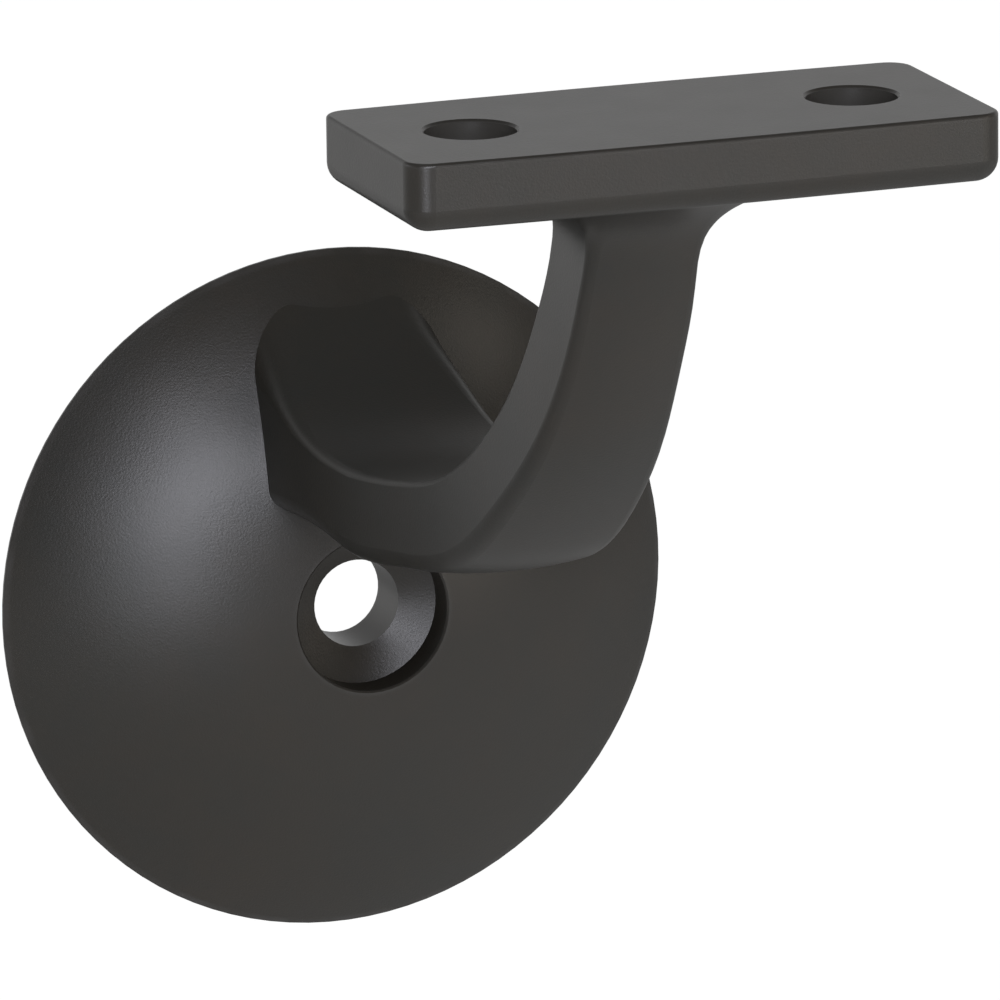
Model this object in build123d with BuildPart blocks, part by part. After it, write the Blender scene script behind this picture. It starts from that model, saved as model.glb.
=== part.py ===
from build123d import *
from math import sqrt
import os

# Handrail bracket, one casting.
# Millimetres. The wall is the plane Y = 0, the room is towards -Y, X runs along the rail, +Z is up.
# The origin is the centre of the rosette's back, on the axis of the wall screw.

# rosette: a shallow round cap with a ring at its back that bears on the wall
rosette_radius = 34.9
rosette_height = 12.7
rim_land = 0.3
ring_width = 2.9
relief_depth = 1.0

# wall screw hole: straight bore at the back, conical seat, recess for the head with a bevelled rim
wall_bore_radius = 4.45
wall_bore_length = 6.1
seat_radius = 7.9
seat_depth = 1.4
recess_bevel = 0.2
recess_clearance = 1.0

# rail plate
plate_length = 58.0
plate_width = 26.1
plate_thickness = 6.6
plate_top = 67.7
plate_projection = 94.4
plate_corner_radius = 2.4
plate_side_bow = 0.45
plate_top_edge_radius = 0.35
plate_bottom_edge_radius = 2.2

# rail screw holes, countersunk from below
rail_hole_radius = 4.3
rail_hole_spacing = 37.5
rail_hole_lip = 0.25
rail_sink_radius = 6.3
rail_sink_angle = 90.0

# Sections of the arm: inner point and outer point as (Y, Z), half width, radius of the inner
# corners, radius of the outer corners. The first ones leave the rosette and are measured from
# the origin, the others carry the plate and are measured from the centre of its underside.
root_stations = [
    ((-2.0, 31.9), (-2.0, 11.4), 10.0, 5.8, 1.6),
    ((-4.8, 29.1), (-5.0, 11.4), 10.0, 5.0, 1.7),
    ((-8.0, 26.9), (-8.4, 11.5), 10.05, 3.9, 1.9),
    ((-12.0, 24.6), (-12.6, 11.7), 10.1, 2.6, 2.0),
    ((-17.0, 22.3), (-17.4, 12.0), 10.1, 1.5, 2.2),
    ((-23.5, 20.7), (-23.5, 12.0), 9.9, 0.9, 2.3),
    ((-31.5, 20.3), (-31.0, 11.4), 9.4, 0.7, 2.2),
]
plate_stations = [
    ((51.6, -39.4), (52.8, -48.3), 8.6, 0.6, 2.0),
    ((40.1, -36.4), (37.7, -44.8), 8.05, 0.6, 1.8),
    ((30.6, -31.0), (25.6, -37.2), 7.45, 0.5, 1.6),
    ((22.8, -23.3), (16.4, -28.6), 6.6, 0.5, 1.4),
    ((18.2, -15.9), (10.2, -20.0), 6.0, 0.5, 1.3),
    ((15.1, -9.8), (6.2, -12.1), 5.78, 0.5, 1.2),
    ((13.9, -5.6), (3.6, -6.6), 5.9, 0.5, 1.5),
    ((12.6, -3.3), (0.0, -3.5), 7.4, 0.5, 3.0),
    ((12.0, -1.6), (-3.6, -1.6), 10.0, 0.5, 5.5),
    ((11.7, -0.5), (-6.4, -0.5), 13.2, 0.5, 8.4),
    ((11.4, 0.2), (-9.0, 0.2), 16.4, 0.5, 11.0),
    ((11.4, 2.3), (-9.0, 2.3), 16.4, 0.5, 11.0),
]
# the outer side bulges by this much between its corners
arm_crown = 0.8

cap_rise = rosette_height - rim_land
cap_sphere_radius = (rosette_radius ** 2 + cap_rise ** 2) / (2 * cap_rise)
relief_radius = rosette_radius - ring_width
relief_front = -relief_depth
bore_front = relief_front - wall_bore_length
seat_front = bore_front - seat_depth
recess_front = -rosette_height - recess_clearance
# the rim of the recess lies this far out on the dome
recess_rim = cap_sphere_radius - rosette_height - sqrt(cap_sphere_radius ** 2 - seat_radius ** 2)
bevel_back = recess_rim + recess_bevel

plate_bottom = plate_top - plate_thickness
plate_back = -plate_projection + plate_width / 2
plate_front = -plate_projection - plate_width / 2
plate_end = plate_length / 2
corner_back = plate_back - plate_side_bow
corner_front = plate_front + plate_side_bow

stations = root_stations + [
    (
        (inner[0] - plate_projection, inner[1] + plate_bottom),
        (outer[0] - plate_projection, outer[1] + plate_bottom),
        half_width, inner_radius, outer_radius,
    )
    for inner, outer, half_width, inner_radius, outer_radius in plate_stations
]

with BuildPart() as arm:
    # the section turns with the bend and narrows towards the rail, its inner corners stay small
    for inner, outer, half_width, inner_radius, outer_radius in stations:
        inner_point = Vector(0, *inner)
        outward = Vector(0, *outer) - inner_point
        section = Plane(origin=inner_point, x_dir=(1, 0, 0), z_dir=Vector(1, 0, 0).cross(outward))
        with BuildSketch(section):
            with BuildLine():
                depth = outward.length
                Polyline((-half_width, depth), (-half_width, 0), (half_width, 0), (half_width, depth))
                ThreePointArc((half_width, depth), (0, depth + arm_crown), (-half_width, depth))
            make_face()
            fillet(vertices().group_by(Axis.Y)[0], inner_radius)
            fillet(vertices().group_by(Axis.Y)[-1], outer_radius)
    loft()

with BuildPart() as plate:
    # the long sides are slightly bowed and the lower edges well rounded
    with BuildSketch(Plane.XY.offset(plate_bottom)):
        with BuildLine():
            ThreePointArc((-plate_end, corner_back), (0, plate_back), (plate_end, corner_back))
            Line((plate_end, corner_back), (plate_end, corner_front))
            ThreePointArc((plate_end, corner_front), (0, plate_front), (-plate_end, corner_front))
            Line((-plate_end, corner_front), (-plate_end, corner_back))
        make_face()
        fillet(vertices(), plate_corner_radius)
    extrude(amount=plate_thickness)
    fillet(edges().group_by(Axis.Z)[0], plate_bottom_edge_radius)
    fillet(edges().group_by(Axis.Z)[-1], plate_top_edge_radius)

with BuildPart() as handrail_bracket:
    # rosette
    with BuildSketch(Plane.YZ):
        with BuildLine():
            Polyline((-rosette_height, 0), (0, 0), (0, rosette_radius), (-rim_land, rosette_radius))
            RadiusArc((-rim_land, rosette_radius), (-rosette_height, 0), -cap_sphere_radius)
        make_face()
    revolve(axis=Axis.Y)

    # arm
    add(arm.part)

    # rail plate
    add(plate.part)

    # relief behind the rosette
    with BuildSketch(Plane.XZ):
        Circle(relief_radius)
    extrude(amount=relief_depth, mode=Mode.SUBTRACT)

    # wall screw hole, seat and recess in one turned cut
    with BuildSketch(Plane.YZ):
        with BuildLine():
            Polyline(
                (relief_front, 0), (relief_front, wall_bore_radius), (bore_front, wall_bore_radius),
                (seat_front, seat_radius), (bevel_back, seat_radius),
                (recess_front, seat_radius + bevel_back - recess_front), (recess_front, 0),
                close=True,
            )
        make_face()
    revolve(axis=Axis.Y, mode=Mode.SUBTRACT)

    # rail screw holes, the countersink faces down
    with Locations(Plane(origin=(0, -plate_projection, plate_bottom), z_dir=(0, 0, -1))):
        with Locations((-rail_hole_spacing / 2, 0), (rail_hole_spacing / 2, 0)):
            CounterSinkHole(rail_hole_radius, rail_sink_radius, plate_thickness, rail_sink_angle)
    chamfer(edges(Select.LAST).group_by(Axis.Z)[-1], rail_hole_lip)

os.makedirs("parts", exist_ok=True)
handrail_bracket.part.label = "handrail_bracket"
export_step(handrail_bracket.part, "parts/handrail_bracket.step")
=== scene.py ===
# %% [markdown]
# A handrail bracket is one casting: a domed rosette that is screwed to the wall, a J-shaped arm
# and a flat plate that carries the rail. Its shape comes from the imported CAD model, which this
# lesson loads as a fixed frame. Nothing of it is moved here. What Blender adds is the finish,
# the light and the camera.

# %% Load the bracket
import bpy
import bmesh
import math
from mathutils import Matrix, Vector

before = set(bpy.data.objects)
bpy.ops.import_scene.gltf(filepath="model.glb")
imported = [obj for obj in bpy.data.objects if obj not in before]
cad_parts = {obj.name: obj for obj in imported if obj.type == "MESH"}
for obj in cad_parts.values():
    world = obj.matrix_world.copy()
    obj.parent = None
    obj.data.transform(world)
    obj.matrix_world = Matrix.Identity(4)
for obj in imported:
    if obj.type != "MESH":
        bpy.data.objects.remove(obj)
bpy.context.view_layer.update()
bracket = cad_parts["handrail_bracket"]

# %% [markdown]
# The finish is a dark satin coat on cast metal. Seen close it has four parts: a tint that drifts a
# little from place to place, a sheen that is not quite even, a very fine tooth from the sprayed
# coat over the casting, and outer edges that are a little smoother. On top of these, the outer
# edges get a painted highlight and the walls of the rail holes get painted light, each a lighter
# colour in place of light. One plain dark colour would look like plastic, so each part gets its
# own small group of nodes. They all read Object coordinates, because those stay with the metal
# from every side.

# %% Helpers for building a material out of nodes
def add(tree, kind, **settings):
    node = tree.nodes.new(kind)
    for key, value in settings.items():
        setattr(node, key, value)
    return node


def new_material(name):
    material = bpy.data.materials.new(name)
    material.use_nodes = True
    return material, material.node_tree, material.node_tree.nodes["Principled BSDF"]


def noise(tree, vector, scale, detail=3.0, fineness=0.5):
    node = add(tree, "ShaderNodeTexNoise")
    for socket, number in (("Scale", scale), ("Detail", detail), ("Roughness", fineness)):
        node.inputs[socket].default_value = number
    tree.links.new(vector, node.inputs["Vector"])
    return node.outputs["Fac"]


# %% Helpers that stretch, join and mix values
def spread(tree, value, low, high, to_low, to_high, ease="LINEAR"):
    node = add(tree, "ShaderNodeMapRange", interpolation_type=ease)
    limits = {"From Min": low, "From Max": high, "To Min": to_low, "To Max": to_high}
    for socket, number in limits.items():
        node.inputs[socket].default_value = number
    tree.links.new(value, node.inputs["Value"])
    return node.outputs["Result"]


def join(tree, operation, first, second):
    node = add(tree, "ShaderNodeMath", operation=operation)
    for socket, value in zip(node.inputs, (first, second)):
        if isinstance(value, float):
            socket.default_value = value
        else:
            tree.links.new(value, socket)
    return node.outputs["Value"]


def blend(tree, factor, first, second):
    node = add(tree, "ShaderNodeMix", data_type="RGBA")
    tree.links.new(factor, node.inputs["Factor"])
    for socket, colour in (("A", first), ("B", second)):
        if isinstance(colour, tuple):
            node.inputs[socket].default_value = (*colour, 1.0)
        else:
            tree.links.new(colour, node.inputs[socket])
    return node.outputs["Result"]


# %% The drifting tint of the coat
grey_coat, brown_coat = (0.0180, 0.0178, 0.0149), (0.0226, 0.0190, 0.0143)
coat, tree, shader = new_material("dark_satin_coat")
place = add(tree, "ShaderNodeTexCoord").outputs["Object"]

drift = noise(tree, place, scale=27.0, detail=6.0, fineness=0.72)
drift = spread(tree, drift, 0.36, 0.64, 0.0, 1.0)
tint = blend(tree, drift, grey_coat, brown_coat)
print("tint mixed in", coat.name)

# %% [markdown]
# The walls of the two rail holes get painted light: a lighter colour in place of the light that
# reaches into them, so they look lighter than the rest. The mask is the squared distance from the
# nearer hole's axis, set against the hole's radius. Both holes are measured at once by taking the
# size of X without its sign.

# %% Painted light in the drilled holes
# The lighter colour in the holes is painted light on their walls.
hole_from_middle, plate_from_wall = 0.01875, 0.0944
hole_light_until, hole_light_ends = 0.00432, 0.00438
painted_hole_light = (0.040, 0.038, 0.034)


def split(tree, vector):
    node = add(tree, "ShaderNodeSeparateXYZ")
    tree.links.new(vector, node.inputs["Vector"])
    return node.outputs


sides = split(tree, place)
off_x = join(tree, "SUBTRACT", join(tree, "ABSOLUTE", sides["X"], 0.0), hole_from_middle)
off_y = join(tree, "ADD", sides["Y"], plate_from_wall)
squared = [join(tree, "MULTIPLY", off, off) for off in (off_x, off_y)]
reach = join(tree, "ADD", *squared)
hole_light_mask = spread(tree, reach, hole_light_until ** 2, hole_light_ends ** 2, 1.0, 0.0)
tint = blend(tree, hole_light_mask, tint, painted_hole_light)
print("thin coat up to", hole_light_until, "m from each hole's axis")

# %% [markdown]
# The outer edges get a painted highlight: a lighter colour in place of the thin bright lines that
# light draws along them. The Ambient Occlusion node can look inwards: from a flat face its short
# rays stay in the metal, and near an outer edge they come out again. That gives a mask of the
# outer edges without a painted texture. A coarser noise breaks the mask up, so the painted
# highlight is uneven.

# %% Painted highlight on the outer edges
# The lighter colour on the outer edges is a painted highlight.
edge_highlight_width, painted_edge_highlight = 0.0009, (0.034, 0.032, 0.029)
inward = add(tree, "ShaderNodeAmbientOcclusion", samples=8, inside=True, only_local=True)
inward.inputs["Distance"].default_value = edge_highlight_width
edge = spread(tree, inward.outputs["AO"], 0.55, 0.84, 1.0, 0.0)
patches = spread(tree, noise(tree, place, scale=210.0), 0.38, 0.62, 0.25, 1.0)
edge_highlight_mask = join(tree, "MULTIPLY", edge, patches)
tree.links.new(blend(tree, edge_highlight_mask, tint, painted_edge_highlight), shader.inputs["Base Color"])
print("rubbed edges reach", edge_highlight_width, "m in")

# %% [markdown]
# The sheen is roughness. It drifts between two values, and the edges under the painted highlight
# are a little smoother.
# The tooth is a bump far finer than a millimetre, which gives the highlight its fine grain.

# %% Sheen and tooth
rough_low, rough_high, edge_smoother = 0.332, 0.348, 0.03
sheen = spread(tree, noise(tree, place, scale=180.0), 0.3, 0.7, rough_low, rough_high)
smoother = join(tree, "MULTIPLY", edge_highlight_mask, edge_smoother)
tree.links.new(join(tree, "SUBTRACT", sheen, smoother), shader.inputs["Roughness"])

tooth = add(tree, "ShaderNodeBump")
tooth.inputs["Strength"].default_value = 0.25
tooth.inputs["Distance"].default_value = 0.00006
tree.links.new(noise(tree, place, scale=4500.0, detail=2.0), tooth.inputs["Height"])
tree.links.new(tooth.outputs["Normal"], shader.inputs["Normal"])

bracket.data.materials.clear()
bracket.data.materials.append(coat)
print("coat on", bracket.name, "with", len(tree.nodes), "nodes")

# %% [markdown]
# The bracket hangs in front of a white backdrop in a studio that is darker on the camera's side
# and overhead. Mirror-like reflections see the backdrop behind the bracket fade out upwards and
# towards the camera, under a faint ceiling. That draws the bright top of the plate and the dark
# hollow of the arm.

# %% What reflections see of the studio
smooth = "SMOOTHSTEP"
world = bpy.data.worlds.new("studio")
bpy.context.scene.world = world
world.use_nodes = True
studio = world.node_tree
studio.nodes.clear()

axis = split(studio, add(studio, "ShaderNodeTexCoord").outputs["Generated"])
behind = spread(studio, axis["Y"], -0.5, 0.5, 0.0, 0.72, smooth)
fading = spread(studio, axis["Z"], 0.15, 0.75, 1.0, 0.12, smooth)
ceiling = spread(studio, axis["Z"], 0.5, 1.0, 0.02, 0.13, smooth)
mirrored = join(studio, "ADD", join(studio, "MULTIPLY", behind, fading), ceiling)
print("reflections of the studio from", len(studio.nodes), "nodes")

# %% [markdown]
# The Light Path node tells rays apart. The camera, and anything clear, sees plain white, which is
# a strength of 1. Mirror-like reflections get the fading backdrop, and the soft light from all
# sides is kept low.

# %% What each kind of ray sees
soft_light = 0.28


def in_view(tree, rays):
    return join(tree, "MAXIMUM", rays["Is Camera Ray"], rays["Is Transmission Ray"])


rays = add(studio, "ShaderNodeLightPath").outputs
glossy = join(studio, "MULTIPLY", rays["Is Glossy Ray"], mirrored)
around = join(studio, "MULTIPLY", rays["Is Diffuse Ray"], soft_light)
strength = join(studio, "MAXIMUM", in_view(studio, rays), join(studio, "ADD", glossy, around))

backdrop = add(studio, "ShaderNodeBackground")
backdrop.inputs["Color"].default_value = (1.0, 1.0, 1.0, 1.0)
studio.links.new(strength, backdrop.inputs["Strength"])
output = add(studio, "ShaderNodeOutputWorld")
studio.links.new(backdrop.outputs["Background"], output.inputs["Surface"])
print("studio", len(studio.nodes), "nodes")

# %% [markdown]
# Soft boxes are area lamps. Their size sets how soft a highlight is, and their place sets where
# it falls. Each is placed by its azimuth and elevation, as seen from the bracket, and all of them
# stand at one distance and face the same point of the arm.

# %% A soft box
aim, lamp_distance = Vector((0.0, -0.05, 0.015)), 1.6


def heading(azimuth, elevation):
    a, e = math.radians(azimuth), math.radians(elevation)
    return Vector((math.sin(a) * math.cos(e), -math.cos(a) * math.cos(e), math.sin(e)))


def soft_box(name, azimuth, elevation, width, height, power, colour):
    lamp = bpy.data.lights.new(name, "AREA")
    lamp.color = colour
    lamp.shape = "ELLIPSE"
    lamp.size, lamp.size_y = width, height
    lamp.energy = power
    holder = bpy.data.objects.new(name, lamp)
    bpy.context.collection.objects.link(holder)
    away = heading(azimuth, elevation)
    facing = away.to_track_quat("Z", "Y").to_matrix().to_4x4()
    holder.matrix_world = Matrix.Translation(aim + away * lamp_distance) @ facing


# %% [markdown]
# The tall highlight on the left of the dome runs down in a slant, so the key light is a set of
# round boxes in a slanting band near the camera, each with its own strength. A wide box on the
# right lifts the front of the arm, a weak one high on the right opens the plate's far end, and
# one on the left lights the near end. A small low one puts the sheen on the plate's front face.
# The wide box and the one for the far end are a little warm, and the others a little cool.

# %% The soft boxes around the bracket
cool, warm = (0.91, 0.92, 1.0), (1.0, 0.93, 0.83)
key_width = 0.4
key_boxes = [  # azimuth, elevation, power
    (-2.0, 28.0, 6.3), (-12.0, 20.0, 2.9), (-22.0, 28.0, 2.5), (-22.0, 12.0, 4.5),
    (-32.0, 8.0, 1.9), (-22.0, -4.0, 1.8), (-32.0, -8.0, 1.3),
]
fill_boxes = [  # name, azimuth, elevation, width, height, power, colour
    ("side_box", 35.0, 0.0, 1.20, 0.50, 2.8, warm),
    ("far_end_box", 60.0, 30.0, 0.60, 0.50, 1.3, warm),
    ("near_end_box", -110.0, 10.0, 0.60, 0.50, 0.8, cool),
    ("low_box", 16.0, -5.0, 0.50, 0.30, 0.8, cool),
]
for count, (azimuth, elevation, power) in enumerate(key_boxes, 1):
    soft_box("key_box_%d" % count, azimuth, elevation, key_width, key_width, power, cool)
for box in fill_boxes:
    soft_box(*box)

# %% [markdown]
# The floor lies well below the bracket, which hangs on a wall in use. It is a bmesh grid of one
# face.

# %% The floor's sheet
floor_level, floor_size = -0.35, 3.0
sheet = bmesh.new()
bmesh.ops.create_grid(sheet, x_segments=1, y_segments=1, size=floor_size)
bmesh.ops.translate(sheet, verts=sheet.verts, vec=(0.0, 0.0, floor_level))
floor_mesh = bpy.data.meshes.new("floor")
sheet.to_mesh(floor_mesh)
sheet.free()
floor = bpy.data.objects.new("floor", floor_mesh)
bpy.context.collection.objects.link(floor)
print("floor at", floor_level)

# %% [markdown]
# Mirror-like reflections see the floor as a card that is brighter in front, most of all on the
# right, and brighter again far behind. That card lights the underside of the bend and its lower
# rim.

# %% The card that reflections see
pale, tree, shader = new_material("pale_floor")
shader.inputs["Base Color"].default_value = (0.8, 0.8, 0.8, 1.0)
shader.inputs["Roughness"].default_value = 0.9

side = split(tree, add(tree, "ShaderNodeTexCoord").outputs["Object"])
front = spread(tree, side["Y"], -0.3, 0.3, 1.0, 0.0, smooth)
rightward = spread(tree, side["X"], -0.3, 0.3, 0.20, 0.38, smooth)
far = spread(tree, side["Y"], 0.7, 1.5, 0.32, 0.65, smooth)
card = join(tree, "ADD", join(tree, "MULTIPLY", front, rightward), far)
print("card in", pale.name, "with", len(tree.nodes), "nodes")

# %% [markdown]
# From above the floor is mostly its own white glow, with a share of real light left in, so it
# keeps the soft shadow. From below the camera looks through it, so that the underside of the
# bracket can be seen.

# %% The pale floor
white_glow, glow_share = 1.20, 0.8


def mix_shaders(tree, factor, first, second):
    node = add(tree, "ShaderNodeMixShader")
    for socket, value in zip(node.inputs, (factor, first, second)):
        tree.links.new(value, socket)
    return node.outputs["Shader"]


rays = add(tree, "ShaderNodeLightPath").outputs
straight = in_view(tree, rays)
white = join(tree, "MULTIPLY", straight, white_glow)
glossy = join(tree, "MULTIPLY", rays["Is Glossy Ray"], card)
glow = add(tree, "ShaderNodeEmission")
tree.links.new(join(tree, "ADD", white, glossy), glow.inputs["Strength"])
share = join(tree, "ADD", join(tree, "MULTIPLY", straight, glow_share), rays["Is Glossy Ray"])
above = mix_shaders(tree, share, shader.outputs["BSDF"], glow.outputs["Emission"])

from_below = add(tree, "ShaderNodeNewGeometry").outputs["Backfacing"]
clear = add(tree, "ShaderNodeBsdfTransparent").outputs["BSDF"]
surface = mix_shaders(tree, from_below, above, clear)
tree.links.new(surface, tree.nodes["Material Output"].inputs["Surface"])
floor.data.materials.append(pale)
print("floor finish", pale.name)

# %% [markdown]
# The photograph has almost no perspective, so it was taken with a long lens from far away. The
# camera is turned by its azimuth, elevation and roll, as a photographer would level a tripod.

# %% The camera
azimuth, elevation, roll = -19.939, 14.134, math.radians(0.654)
standpoint = (-0.382257, -1.103266, 0.302744)
back = heading(azimuth, elevation)
level_right = Vector((0.0, 0.0, 1.0)).cross(back).normalized()
level_up = back.cross(level_right)
right = math.cos(roll) * level_right - math.sin(roll) * level_up
up = math.sin(roll) * level_right + math.cos(roll) * level_up

lens = bpy.data.cameras.new("camera")
lens.lens, lens.sensor_width = 432.0, 36.0
camera = bpy.data.objects.new("camera", lens)
bpy.context.collection.objects.link(camera)
turn = Matrix((right, up, back)).transposed().to_4x4()
camera.matrix_world = Matrix.Translation(standpoint) @ turn
bpy.context.scene.camera = camera
print("camera at", tuple(camera.location))

# %% Finish
bpy.context.scene.view_settings.view_transform = "Standard"
